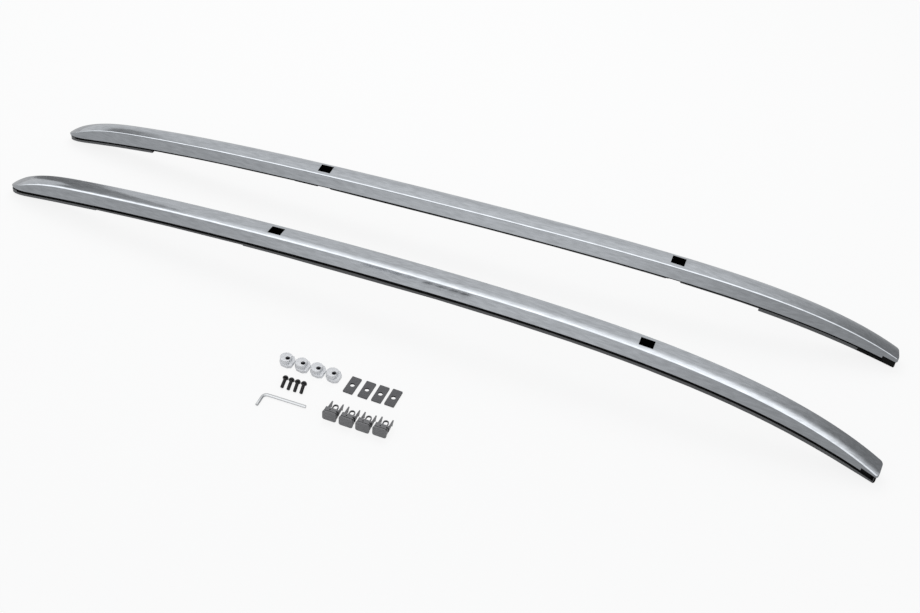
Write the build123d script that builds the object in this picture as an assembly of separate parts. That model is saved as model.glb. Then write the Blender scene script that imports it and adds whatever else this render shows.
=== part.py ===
from build123d import *
import math
import os

# Pair of roof side rails for a car, laid out with the pieces that fix them.
# Millimetres, +Z up, +X to the front end of the rails, +Y to the car's left.
# Each rail is a hollow aluminium arch that stands on its two ends. It carries
# a foot moulding under each end and two seal strips between them. The spacer
# nuts, screws, pads, window covers and the hex key lie beside the right rail.

# Overall sizes of the pair
rail_length = 1686.0
rail_spacing = 210.8
rail_width = 37.0
side_height = 24.9
side_lean = 5.0

# Arch of the rail: the lower edge of its side walls
arch_height = 99.1
arch_fall = 13.7
arch_place = 0.93
front_tip_height = 10.8
rear_tip_height = 13.5
front_droop_power = 7.2
rear_droop_power = 6.3

# Plan line: the front ends run outwards, the rear ends a little inwards
front_splay = 43.9
front_splay_power = 4.2
rear_inset = 6.2
rear_inset_power = 8.0

# How the section changes towards the ends
front_taper = 16.7
front_taper_power = 17.3
width_taper = 3.5
width_taper_power = 6.0
inner_rise = 0.3
rear_inner_rise = 2.5
front_inner_rise = 4.0
inner_rise_power = 6.0

# Top face: nearly flat at the inner edge, rolling over to the outer edge
roll_reach = 7.0
roll_height = 5.0
crown_reach = 14.0
crown_rise = 1.0
edge_bevel = 1.5

# Noses of the rails
rear_nose_length = 52.0
rear_nose_drop_length = 160.0
rear_nose_drop_power = 3.0
nose_side_height = 1.2
front_nose_radius = 9.0
front_nose_margin = 1.0
nose_sides = 20
relief_height = 5.0
relief_length = 30.0

# Walls
wall = 2.5
floor_thickness = 3.0
recess_depth = 5.0
lip_thickness = 2.5
rear_solid_length = 95.0
front_solid_length = 85.0
rear_recess_end = 14.0
front_recess_end = 12.0
recess_overcut = 1.0
body_stations = 11
hollow_stations = 9
strip_stations = 5
block_stations = 2
slope_step = 1.0
front_overrun = 4.0
trim_reach = 150.0

# Windows and screw holes
rear_window_place = -268.0
front_window_place = 422.3
window_length = 25.3
window_width = 20.8
screw_hole = 7.0
screw_seat = 15.0
screw_seat_rise = 0.5

# Mouldings under the rail
shadow_gap = 8.0
strip_depth = 13.5
front_strip_extra = 2.0
front_strip_power = 3.0
rear_seal_rise = 1.5
strip_tilt = 2.4
lip_inset = 3.0
hidden_lip_inset = 9.5
neck_inset = 7.5
neck_root = 1.0
strip_clearance = 0.2
rear_foot_length = 200.0
front_foot_length = 260.0
strip_joint = -330.0
front_foot_setback = 2.0
foot_level_power = 40.0
rear_block_length = 16.0
rear_block_top = -4.0
front_block_length = 26.0
front_block_inset = 11.0
front_wall_length = 6.0

# Fixing pieces
kit_clearance = 1.0
nut_pitch = 29.0
nut_first = (-147.2, -311.5)
nut_height = 14.0
nut_base_height = 6.0
nut_boss_radius = 11.0
nut_boss_offset = (-3.5, 2.0)
nut_flat = 4.7
thread_diameter = 6.0
thread_core = 5.0
nut_outline = ((-15, -2), (-8, -9.5), (3, -11), (10, -7.5), (11, 8), (4.5, 16.5), (-6, 16), (-14, 8))
nut_pocket_width = 27.0
boss_pocket_width = 23.0
nut_count = 4

pad_length = 39.0
pad_width = 18.0
pad_thickness = 3.0
pad_corner = 1.5
pad_hole = 8.0
pad_places = ((-25.0, -314.2, 2.2), (1.7, -314.1, 1.8), (26.3, -313.6, 1.3), (49.8, -312.7, 1.4))

screw_length = 20.0
screw_head_diameter = 10.5
screw_head_height = 4.2
hex_size = 5.0
socket_depth = 2.6
screw_places = ((-133.0, -349.2, 8.0), (-121.6, -349.6, 9.1), (-110.3, -349.2, 10.2), (-99.0, -348.6, 10.9))

key_long = 76.0
key_short = 27.5
key_bend = 8.0
key_place = (-150.5, -394.0)
key_turn = 1.2

cover_places = ((-27.7, -403.0), (2.3, -403.7), (31.7, -403.4), (61.2, -401.5))
lid_height = 19.5
lid_thickness = 2.6
lid_corner = 4.0
cover_gap = 0.4
block_depth = 10.5
block_inset = 1.4
block_wall = 1.8
side_slot = 4.0
pin_hole = 2.2
pin_hole_spacing = 11.5
pin_hole_shift = 4.0
leg_reach = 20.0
leg_shift = 1.4
leg_thickness = 2.2
leg_low = 5.0
leg_high = 15.0
leg_barb_length = 6.0
leg_barb_rise = 3.0
leg_barb_drop = 2.0
loop_length = 22.0
loop_width = 10.0
loop_wall = 1.6
loop_height = 3.0
loop_place = 4.0


def toward_front(x):
    """0 at the rear tip and 1 at the front tip."""
    return max(0.0, 0.5 + x / rail_length)


def toward_rear(x):
    """1 at the rear tip and 0 at the front tip."""
    return max(0.0, 0.5 - x / rail_length)


def arch_fall_at(x):
    """Drop of the long gentle part of the arch."""
    return arch_fall * (2 * x / rail_length - arch_place) ** 2


def bottom_line(x):
    """Height of the lower edge of the side walls."""
    front_end = rail_length / 2
    front_droop = arch_height - arch_fall_at(front_end) - front_tip_height
    rear_droop = arch_height - arch_fall_at(-front_end) - rear_tip_height
    droop = front_droop * toward_front(x) ** front_droop_power
    droop += rear_droop * toward_rear(x) ** rear_droop_power
    return arch_height - arch_fall_at(x) - droop


def centre_line(x):
    """Y of the middle of the right rail."""
    splay = front_splay * toward_front(x) ** front_splay_power
    splay -= rear_inset * toward_rear(x) ** rear_inset_power
    return -rail_spacing / 2 - splay


def half_width(x):
    """Half the width of the top face."""
    return rail_width / 2 - width_taper * toward_rear(x) ** width_taper_power


def nose_share(x):
    """1 along the rail, falling nearly to 0 at the rear tip."""
    distance = min(x + rail_length / 2 + nose_side_height, rear_nose_drop_length)
    return 1 - (1 - distance / rear_nose_drop_length) ** rear_nose_drop_power


def outer_height(x):
    """Height of the outer side wall."""
    height = side_height - front_taper * toward_front(x) ** front_taper_power
    return nose_side_height + (height - nose_side_height) * nose_share(x)


def inner_height(x):
    """Height of the inner side wall."""
    rise = inner_rise + rear_inner_rise * toward_rear(x) ** inner_rise_power
    rise += front_inner_rise * toward_front(x) ** inner_rise_power
    return outer_height(x) + rise * nose_share(x)


def side_out(x, height, top_height):
    """Distance of a side wall from the middle, at a height over the bottom line."""
    return half_width(x) + (top_height - height) * math.tan(math.radians(side_lean))


def right_rail_point(x, outwards, height):
    """Point of the right rail: outwards from its middle, height over its bottom line."""
    return Vector(x, centre_line(x) - outwards, bottom_line(x) + height)


def face_of(edges):
    """Face inside a closed chain of edges."""
    return Face(Wire(edges))


def skin_section(x):
    """Outer section of the rail body."""
    outer_top = outer_height(x)
    inner_top = inner_height(x)
    half = half_width(x)
    share = nose_share(x)
    bevel = edge_bevel * share

    def at(outwards, height):
        return right_rail_point(x, outwards, height)

    outer_foot = at(side_out(x, 0, outer_top), 0)
    inner_foot = at(-side_out(x, 0, inner_top), 0)
    outer_corner = at(half, outer_top)
    inner_corner = at(-half, inner_top)
    outer_handle = at(half - roll_reach, outer_top + roll_height * share)
    inner_handle = at(crown_reach - half, inner_top + crown_rise * share)
    outer_low = outer_corner + (outer_foot - outer_corner).normalized() * bevel
    inner_low = inner_corner + (inner_foot - inner_corner).normalized() * bevel
    outer_high = outer_corner + (outer_handle - outer_corner).normalized() * bevel
    inner_high = inner_corner + (inner_handle - inner_corner).normalized() * bevel
    return face_of(
        [
            Line(inner_foot, outer_foot),
            Line(outer_foot, outer_low),
            Line(outer_low, outer_high),
            Bezier(outer_high, outer_handle, inner_handle, inner_high),
            Line(inner_high, inner_low),
            Line(inner_low, inner_foot),
        ]
    )


def hollow_section(x):
    """Section of the space inside the walls, with a flat ceiling."""
    outer_top = outer_height(x) - wall
    inner_top = inner_height(x) - wall
    base = recess_depth + floor_thickness
    half = half_width(x) - wall

    def at(outwards, height):
        return right_rail_point(x, outwards, height)

    outer_foot = at(side_out(x, base, outer_top) - wall, base)
    inner_foot = at(wall - side_out(x, base, inner_top), base)
    outer_corner = at(half, outer_top)
    inner_corner = at(-half, inner_top)
    return face_of(Polyline(inner_foot, outer_foot, outer_corner, inner_corner, close=True).edges())


def block_section(x, outer_edge, inner_edge, low, high, tilt=0.0):
    """Four-cornered section between two heights over the bottom line, tilted up inwards."""
    corners = [
        right_rail_point(x, -inner_edge, low + tilt),
        right_rail_point(x, outer_edge, low),
        right_rail_point(x, outer_edge, high),
        right_rail_point(x, -inner_edge, high + tilt),
    ]
    return face_of(Polyline(*corners, close=True).edges())


def stations(start, end, count):
    """Places along the rail, closer together towards both ends."""
    middle = (start + end) / 2
    reach = (end - start) / 2
    return [middle - reach * math.cos(math.pi * i / (count - 1)) for i in range(count)]


def along(section, start, end, count):
    """Loft of a section function from start to end."""
    return loft([section(x) for x in stations(start, end, count)])


def box_between(low, high):
    """Box from its lowest to its highest corner."""
    size = [b - a for a, b in zip(low, high)]
    centre = [(a + b) / 2 for a, b in zip(low, high)]
    return Pos(*centre) * Box(*size)


def rear_nose_trim(inset, sides=0):
    """What lies outside the rounded plan of the rear nose, narrower by an inset; its sides may be counted."""
    end = -rail_length / 2
    centre_x = end + rear_nose_length
    half = side_out(centre_x, 0, outer_height(centre_x)) - inset
    around = box_between(
        (end - trim_reach, centre_line(centre_x) - trim_reach, -trim_reach),
        (centre_x, centre_line(centre_x) + trim_reach, arch_height),
    )
    if sides:
        turns = [2 * math.pi * i / sides for i in range(sides)]
        corners = [(rear_nose_length * math.cos(turn), half * math.sin(turn)) for turn in turns]
        plan = face_of(Polyline(*corners, close=True).edges())
    else:
        plan = Ellipse(rear_nose_length, half)
    plan = Pos(centre_x, centre_line(centre_x), -trim_reach) * plan
    return around - extrude(plan, arch_height + 2 * trim_reach)


def front_nose_trim(setback):
    """What lies outside the blunt front nose, square to the plan line of the rail."""
    end = rail_length / 2 - setback
    turn = math.degrees(math.atan2(centre_line(end) - centre_line(end - slope_step), slope_step))
    half = side_out(end, 0, outer_height(end)) + front_nose_margin - setback
    start = end - 2 * front_nose_radius
    around = box_between(
        (start, centre_line(end) - trim_reach, -trim_reach),
        (end + trim_reach, centre_line(end) + trim_reach, arch_height),
    )
    plan = RectangleRounded(trim_reach, 2 * half, front_nose_radius)
    block = Rot(0, 0, turn) * Pos(-trim_reach / 2, 0, 0) * extrude(plan, arch_height + 2 * trim_reach)
    return around - Pos(end, centre_line(end), -trim_reach) * block


def seat_plane(x, height):
    """Plane square to the rail at x, through its middle, at a height over its bottom line."""
    rise = bottom_line(x + slope_step) - bottom_line(x - slope_step)
    slope = math.degrees(math.atan2(rise, 2 * slope_step))
    return Pos(*right_rail_point(x, 0, height)) * Rot(0, -slope, 0)


def rail_body():
    """Hollow arch with its noses, recess, windows and screw holes."""
    rear = -rail_length / 2
    front = rail_length / 2
    body = along(skin_section, rear, front + front_overrun, body_stations)
    body -= along(hollow_section, rear + rear_solid_length, front - front_solid_length, hollow_stations)

    def recess_section(x):
        half = side_out(x, 0, outer_height(x)) - lip_thickness
        return block_section(x, half, half, -recess_overcut, recess_depth)

    body -= along(recess_section, rear + rear_recess_end, front - front_recess_end, body_stations)

    def relief_section(x):
        return block_section(x, rail_width, rail_width, -recess_overcut, relief_height)

    body -= along(relief_section, front - relief_length, front + front_overrun, block_stations)
    body -= rear_nose_trim(0)
    body -= front_nose_trim(0)
    for place in (rear_window_place, front_window_place):
        window = Box(window_length, window_width, side_height)
        body -= seat_plane(place, side_height) * window
        floor_middle = seat_plane(place, recess_depth + floor_thickness / 2)
        body += floor_middle * Box(screw_seat, screw_seat, floor_thickness + 2 * screw_seat_rise)
        body -= floor_middle * Cylinder(screw_hole / 2, 4 * floor_thickness)
    return body


def strip(start, end, inner_inset, rise=0.0):
    """Moulding under the rail: a flange below a narrower neck that fills the recess."""

    def depth(x):
        level = (front_tip_height - strip_depth - front_strip_extra) * toward_front(x) ** foot_level_power
        return strip_depth - rise + front_strip_extra * toward_front(x) ** front_strip_power + level

    def flange(x):
        half = side_out(x, 0, outer_height(x))
        tilt = strip_tilt * (1 - max(toward_front(x), toward_rear(x)) ** foot_level_power)
        return block_section(x, half - lip_inset, half - inner_inset, -depth(x), -shadow_gap, tilt)

    def neck(x):
        half = side_out(x, 0, outer_height(x)) - neck_inset
        return block_section(x, half, half, -shadow_gap - neck_root, recess_depth - strip_clearance)

    neck_start = max(start, rear_recess_end + strip_clearance - rail_length / 2)
    neck_end = min(end, rail_length / 2 - front_recess_end - strip_clearance)
    moulding = along(flange, start, end, strip_stations)
    return moulding + along(neck, neck_start, neck_end, strip_stations)


def end_block(start, end, outer_inset, top):
    """Raised end of a foot, from inside its flange up to a height over the bottom line."""

    def section(x):
        half = side_out(x, 0, outer_height(x))
        return block_section(x, half - outer_inset, half - lip_inset, -shadow_gap - neck_root, top)

    return along(section, start, end, block_stations)


def nut_pocket(place):
    """Space that a spacer nut takes in the strip under a window: its base below, its boss in the neck."""
    length = nut_pitch - 2 * kit_clearance
    base = seat_plane(place, -shadow_gap - strip_depth) * Box(length, nut_pocket_width, 2 * strip_depth)
    boss = seat_plane(place, 0) * Box(length, boss_pocket_width, 4 * strip_depth)
    return base + boss


def rear_foot():
    """Moulding under the rear end."""
    rear = -rail_length / 2
    foot = strip(rear, rear + rear_foot_length, lip_inset)
    foot += end_block(rear, rear + rear_block_length, lip_inset, rear_block_top)
    return foot - rear_nose_trim(lip_inset, nose_sides)


def rear_seal():
    """Seal strip from the rear foot to the joint."""
    return strip(rear_foot_length - rail_length / 2, strip_joint, hidden_lip_inset, rear_seal_rise)


def front_seal():
    """Seal strip from the joint to the front foot, open where the spacer nuts sit."""
    seal = strip(strip_joint, rail_length / 2 - front_foot_length, hidden_lip_inset)
    return seal - nut_pocket(rear_window_place) - nut_pocket(front_window_place)


def front_foot():
    """Moulding under the front end."""
    front = rail_length / 2
    top = relief_height - strip_clearance
    foot = strip(front - front_foot_length, front, lip_inset)
    foot += end_block(front - front_block_length, front, front_block_inset, top)
    foot += end_block(front - front_foot_setback - front_wall_length, front, lip_inset, top)
    return foot - front_nose_trim(front_foot_setback)


def spacer_nut():
    """Cast nut with a flat-sided boss beside its middle and a threaded hole."""
    base = extrude(face_of(Polyline(*nut_outline, close=True).edges()), nut_base_height)
    disc = Pos(*nut_boss_offset) * Circle(nut_boss_radius)
    disc -= Pos(nut_flat + nut_boss_radius, 0) * Rectangle(2 * nut_boss_radius, 4 * nut_boss_radius)
    nut = base + extrude(disc, nut_height)
    return nut - Pos(0, 0, nut_height / 2) * Cylinder(thread_core / 2, 2 * nut_height)


def seal_pad():
    """Flat rubber pad with a hole in its middle."""
    plan = chamfer(Rectangle(pad_width, pad_length).vertices(), pad_corner)
    return extrude(plan - Circle(pad_hole / 2), pad_thickness)


def fixing_screw():
    """Screw with a low head and a hex socket, pointing down."""
    radius = screw_head_diameter / 2
    shank = thread_diameter / 2
    outline = Polyline(
        (0, screw_head_height),
        (0, -screw_length),
        (shank, -screw_length),
        (shank, 0),
        (radius, 0),
        (radius, screw_head_height),
        close=True,
    )
    screw = revolve(Rot(90, 0, 0) * face_of(outline.edges()), Axis.Z)
    socket = RegularPolygon(hex_size / 2, 6, major_radius=False)
    return screw - Pos(0, 0, screw_head_height) * extrude(socket, -socket_depth)


def lying_screw(place):
    """Screw resting on the rim of its head and the edge of its tip."""
    x, y, turn = place
    radius = screw_head_diameter / 2
    rise = (radius - thread_diameter / 2) / screw_length
    tilt = math.degrees(math.atan(rise))
    height = radius * math.cos(math.radians(tilt))
    return Pos(x, y, height) * Rot(0, 0, turn) * Rot(tilt - 90, 0, 0) * fixing_screw()


def hex_key():
    """Bent hexagonal bar lying on one of its flats."""
    path = FilletPolyline((key_long, 0, 0), (0, 0, 0), (0, -key_short, 0), radius=key_bend)
    section = Plane(origin=path @ 0, z_dir=path % 0) * RegularPolygon(hex_size / 2, 6, major_radius=False)
    return sweep(section, path)


def window_cover():
    """Lid with a block behind it, two snap legs and a loop, standing on its edge."""
    lid_length = window_length - 2 * cover_gap
    plate = RectangleRounded(lid_length, lid_height, lid_corner)
    lid = Pos(0, lid_thickness, lid_height / 2) * Rot(90, 0, 0) * extrude(plate, lid_thickness)
    half = lid_length / 2 - block_inset
    back = lid_thickness + block_depth
    cover = lid + box_between((-half, lid_thickness, block_inset), (half, back, lid_height - block_inset))
    cover -= box_between(
        (-half + block_wall, lid_thickness + block_wall, block_inset + block_wall),
        (half - block_wall, back, lid_height - block_inset - block_wall),
    )
    cover -= box_between(
        (half - block_wall, lid_thickness, 2 * block_inset + block_wall),
        (half, lid_thickness + side_slot, lid_height - 2 * block_inset),
    )
    for x in (-pin_hole_spacing / 2, pin_hole_spacing / 2):
        hole = Box(pin_hole, pin_hole, 4 * block_wall)
        cover -= Pos(x + pin_hole_shift, lid_thickness + block_depth / 2, lid_height - block_inset) * hole
    leg_outline = Polyline(
        (back - block_wall, leg_low),
        (back + leg_reach - leg_barb_length, leg_low + leg_barb_rise),
        (back + leg_reach - leg_barb_length, leg_low - leg_barb_drop),
        (back + leg_reach, leg_high - leg_barb_rise),
        (back - block_wall, leg_high),
        close=True,
    )
    leg = extrude(Plane.YZ * face_of(leg_outline.edges()), leg_thickness)
    cover += Pos(leg_shift - half, 0, 0) * leg
    cover += Pos(leg_shift + half - leg_thickness, 0, 0) * leg
    ring = SlotOverall(loop_length, loop_width) - SlotOverall(loop_length - 2 * loop_wall, loop_width - 2 * loop_wall)
    loop = Rot(0, 0, 90) * extrude(ring, loop_height)
    loop -= box_between((-loop_width, -loop_length, 0), (loop_width, 0, loop_height))
    cover += Pos(loop_place, back - block_wall / 2, lid_height - block_inset - loop_height) * loop
    return cover


def left_of(shape):
    """The same piece of the left rail."""
    return mirror(shape, about=Plane.XZ)


def build():
    """All pieces by name, before the origin is set."""
    pieces = {}
    rail_pieces = {
        "rail_body": rail_body(),
        "rear_foot": rear_foot(),
        "rear_seal": rear_seal(),
        "front_seal": front_seal(),
        "front_foot": front_foot(),
    }
    for name, shape in rail_pieces.items():
        pieces["right_" + name] = shape
        pieces["left_" + name] = left_of(shape)
    for i in range(nut_count):
        place = (nut_first[0] + i * nut_pitch, nut_first[1])
        pieces[f"spacer_nut_{i + 1}"] = Pos(*place, 0) * spacer_nut()
        x, y, turn = pad_places[i]
        pieces[f"seal_pad_{i + 1}"] = Pos(x, y, 0) * Rot(0, 0, -turn) * seal_pad()
        pieces[f"fixing_screw_{i + 1}"] = lying_screw(screw_places[i])
        pieces[f"window_cover_{i + 1}"] = Pos(*cover_places[i], 0) * window_cover()
    pieces["hex_key"] = Pos(*key_place, hex_size / 2) * Rot(0, 0, key_turn) * hex_key()
    return pieces


def main():
    """Write each piece, with the origin under the middle of the whole layout."""
    pieces = build()
    bounds = Compound(list(pieces.values())).bounding_box()
    middle = bounds.center()
    print("layout size", bounds.size, "origin at", middle.X, middle.Y, bounds.min.Z)
    os.makedirs("parts", exist_ok=True)
    for name, shape in pieces.items():
        moved = Pos(-middle.X, -middle.Y, -bounds.min.Z) * shape
        export_step(moved, os.path.join("parts", name + ".step"))


if __name__ == "__main__":
    main()
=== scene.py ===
"""Looks of the pair of roof side rails and of the pieces that fix them.

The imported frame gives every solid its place. Lengths in the frame are metres. The rails and
the small pieces are shaped here from sizes in millimetres, the same as those of the solids.
"""

import math

import bmesh
import bpy
from bmesh.types import BMEdge, BMFace, BMVert
from bpy.props import FloatProperty, FloatVectorProperty, IntProperty, PointerProperty
from mathutils import Matrix, Vector
from mathutils.bvhtree import BVHTree


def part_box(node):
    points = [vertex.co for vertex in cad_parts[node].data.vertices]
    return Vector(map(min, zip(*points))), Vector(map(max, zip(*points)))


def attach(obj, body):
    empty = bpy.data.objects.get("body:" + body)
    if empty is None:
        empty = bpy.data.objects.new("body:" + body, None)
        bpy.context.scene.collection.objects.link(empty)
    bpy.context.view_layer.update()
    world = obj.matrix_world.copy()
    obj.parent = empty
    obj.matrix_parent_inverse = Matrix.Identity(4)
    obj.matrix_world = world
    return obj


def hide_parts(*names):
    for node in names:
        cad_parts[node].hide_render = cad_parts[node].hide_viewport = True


bl_info = {
    "name": "Roof side rail pair",
    "version": (1, 0, 0),
    "blender": (4, 5, 0),
    "location": "View3D > Sidebar > Side Rails",
    "description": "Shapes and finishes the roof side rails and the pieces that fix them",
    "category": "Object",
}

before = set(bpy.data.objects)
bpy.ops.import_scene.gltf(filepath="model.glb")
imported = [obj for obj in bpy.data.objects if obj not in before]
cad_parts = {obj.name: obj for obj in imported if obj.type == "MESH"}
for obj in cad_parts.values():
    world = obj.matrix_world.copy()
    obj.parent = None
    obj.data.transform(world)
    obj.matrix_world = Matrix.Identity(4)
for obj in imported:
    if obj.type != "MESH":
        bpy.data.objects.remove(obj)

MM = 0.001
rear_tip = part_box("right_rail_body")[0].x / MM
mirror_y = (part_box("right_rail_body")[0].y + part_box("left_rail_body")[1].y) / 2 / MM

# Arch, plan line and section of a rail, in millimetres, as in its solid
arch_height = 99.1
arch_fall = 13.7
arch_place = 0.93
front_tip_height = 10.8
rear_tip_height = 13.5
front_droop_power = 7.2
rear_droop_power = 6.3
front_splay = 43.9
front_splay_power = 4.2
rear_inset = 6.2
rear_inset_power = 8.0
side_height = 24.9
side_lean = 5.0
front_taper = 16.7
front_taper_power = 17.3
width_taper = 3.5
width_taper_power = 6.0
inner_rise = 0.3
rear_inner_rise = 2.5
front_inner_rise = 4.0
inner_rise_power = 6.0
roll_reach = 7.0
roll_height = 5.0
crown_reach = 14.0
crown_rise = 1.0
rear_nose_length = 52.0
rear_nose_drop_length = 160.0
rear_nose_drop_power = 3.0
nose_side_height = 1.2
front_nose_radius = 9.0
front_nose_margin = 1.0
front_skew_length = 90.0
relief_height = 5.0
relief_length = 30.0
recess_depth = 5.0
lip_thickness = 2.5
rear_recess_end = 14.0
front_recess_end = 12.0
floor_thickness = 3.0
window_places = (-268.0, 422.3)

# Height of the shadow gap over the strips, and what still counts as its floor, in millimetres; faces
# there get painted shade
gap_height = 8.0
gap_margin = 0.3
gap_floor_reach = 3.0

# Distances under which places count as one, and the lift of a ray off its face, in metres
sweep_join = 2e-6
copy_join = 1e-6
ray_lift = 1e-5

# Fineness of the rail sections
wall_shares = (0, 0.35, 0.7)
edge_steps = 5
top_steps = 22
smooth_angle = 35

# Places in the frame of the rails, outlines and edges of the small pieces, in millimetres
nut_first = (-147.2, -311.5)
nut_pitch = 29.0
nut_outline = (
    (-15, -2), (-8, -9.5), (3, -11), (10, -7.5),
    (11, 8), (4.5, 16.5), (-6, 16), (-14, 8),
)
nut_boss_offset = (-3.5, 2.0)
nut_base_edge = 0.7
nut_boss_edge = 0.8
nut_boss_sunk = 1.0
nut_thread_depth = 0.4
countersink = 1.5
pad_places = (
    (-25.0, -314.2, 2.2), (1.7, -314.1, 1.8), (26.3, -313.6, 1.3), (49.8, -312.7, 1.4),
)
pad_corner = 1.8
pad_edge = 0.35
screw_places = (
    (-133.0, -349.2, 8.0), (-121.6, -349.6, 9.1),
    (-110.3, -349.2, 10.2), (-99.0, -348.6, 10.9),
)
screw_thread_depth = 0.55
screw_point = 1.6
socket_depth = 2.6
key_place = (-150.5, -394.0)
key_turn = 1.2
key_edge = 0.3

# Rounding of the feet and seals, in millimetres
moulding_edge = 0.4

# Lid of a cover with the painted shadow line behind it and the dark blocks of painted shade in its pin
# holes, in millimetres
lid_thickness = 2.6
lid_groove = 2.2
pin_hole_shade_block = (2.8, 2.8, 0.3)
pin_hole_places = ((-1.75, 7.85), (9.75, 7.85))
pin_hole_floor = 16.6
cover_edge = 0.2
cover_hollow_reach = 14.0

# Detail of the noise in a grain, and the part of its range that a finish uses
grain_detail = 4.0
grain_limits = (0.3, 0.7)

# Tones of the floor as gloss shows it, from one end of the span to the other, in metres
floor_span = (-1.0, 1.0)
floor_tones = (
    (0.05, 0.66), (0.2, 0.7), (0.3, 0.78), (0.4, 0.9),
    (0.5, 1.0), (0.65, 0.95), (0.78, 0.66), (0.93, 0.5),
)
floor_colour = (0.9, 0.9, 0.9, 1)
floor_white_share = 0.85

# Steps of the surroundings as gloss shows them: from, to, and the levels before and after
right_fall = (0.0, 0.6, 1.2, 0.42)
overhead_lean = (math.radians(49), math.radians(14), 0.0, 1.0)
overhead_level = (-0.05, 0.3, 1.2, 2.0)
overhead_rear_edge = (-0.62, -0.38, 0.0, 1.0)
overhead_front_edge = (0.5, 0.72, 1.0, 0.4)
overhead_low_edge = (0.2, 0.4, 0.0, 1.0)
front_panel_level = (0.06, -0.1, 0.0, 1.9)
front_panel_low_edge = (0.0, 0.35, 0.0, 1.0)
even_colour = (0.64, 0.65, 0.66, 1)

# Outline of the dark card across and up, how far it stands beyond the rear tips, and its tones
card_outline = (
    (0.24, 0.04), (0.29, 0.04), (0.34, 0.12), (0.4, 0.18), (0.5, 0.25), (0.58, 0.36),
    (0.64, 0.48), (0.64, 0.72), (0.58, 0.85), (0.44, 0.92), (0.3, 0.88), (0.22, 0.72),
    (0.17, 0.55), (0.09, 0.45), (0.11, 0.33), (0.3, 0.33), (0.32, 0.24), (0.27, 0.12),
)
card_distance = 0.2
card_tones = (0.15, 0.8, 0.25, 0.66)

# Soft lamp, in metres, and the point of the rails that the camera looks at, in millimetres
lamp_place = (-0.5, 1.2, 2.0)
lamp_target = (0.0, -0.1, 0.0)
lamp_size = (1.8, 1.2)
lamp_radiance = 2.4
look_at = (70.78, -45.96)
picture_width = 920
sensor_width = 36.0


class RailSizes(bpy.types.PropertyGroup):
    """Sizes of a rail, in millimetres."""

    length: FloatProperty(
        name="Length", description="From the rear tip to the front end", default=1686.0,
    )
    spacing: FloatProperty(
        name="Spacing", description="Between the middles of the two rails", default=210.8,
    )
    width: FloatProperty(name="Width", description="Across the top face", default=37.0)
    edge_round: FloatProperty(
        name="Edge round", description="Reach of the rounding at the top edges", default=2.2,
    )
    pitch: FloatProperty(
        name="Station pitch", description="Distance between two sections", default=12.0,
    )
    window_length: FloatProperty(name="Window length", description="Along the rail", default=25.3)
    window_width: FloatProperty(name="Window width", description="Across the rail", default=20.8)
    screw_hole: FloatProperty(
        name="Screw hole", description="Diameter of the hole under a window", default=7.0,
    )


class KitSizes(bpy.types.PropertyGroup):
    """Sizes of the pieces that fix the rails, in millimetres."""

    nut_height: FloatProperty(name="Nut height", description="Height of the boss", default=14.0)
    nut_base: FloatProperty(name="Nut base", description="Height of the base of a nut", default=6.0)
    nut_boss_radius: FloatProperty(name="Nut boss", description="Radius of the boss", default=11.0)
    nut_flat: FloatProperty(
        name="Nut flat", description="From the hole to the flat side of the boss", default=4.7,
    )
    nut_corner: FloatProperty(
        name="Nut corner", description="Radius of the corners of the base", default=3.0,
    )
    thread: FloatProperty(name="Thread", description="Diameter of the threads", default=6.0)
    thread_pitch: FloatProperty(
        name="Thread pitch", description="Rise of one turn of a thread", default=1.0,
    )
    pad_length: FloatProperty(name="Pad length", description="Long side of a pad", default=39.0)
    pad_width: FloatProperty(name="Pad width", description="Short side of a pad", default=18.0)
    pad_thickness: FloatProperty(
        name="Pad thickness", description="Thickness of a pad", default=3.0,
    )
    pad_hole: FloatProperty(
        name="Pad hole", description="Diameter of the hole in a pad", default=8.0,
    )
    screw_length: FloatProperty(
        name="Screw length", description="Length under the head", default=20.0,
    )
    screw_head: FloatProperty(name="Screw head", description="Diameter of the head", default=10.5)
    screw_head_height: FloatProperty(
        name="Head height", description="Height of the head", default=4.2,
    )
    hex_size: FloatProperty(
        name="Hexagon", description="Across the flats of key and socket", default=5.0,
    )
    key_long: FloatProperty(name="Key arm", description="Long arm of the key", default=76.0)
    key_short: FloatProperty(name="Key leg", description="Short arm of the key", default=27.5)
    key_bend: FloatProperty(
        name="Key bend", description="Radius of the bend at its middle line", default=8.0,
    )
    count: IntProperty(
        name="Pieces of each kind", description="Nuts, pads, screws and covers", default=4,
    )


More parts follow.
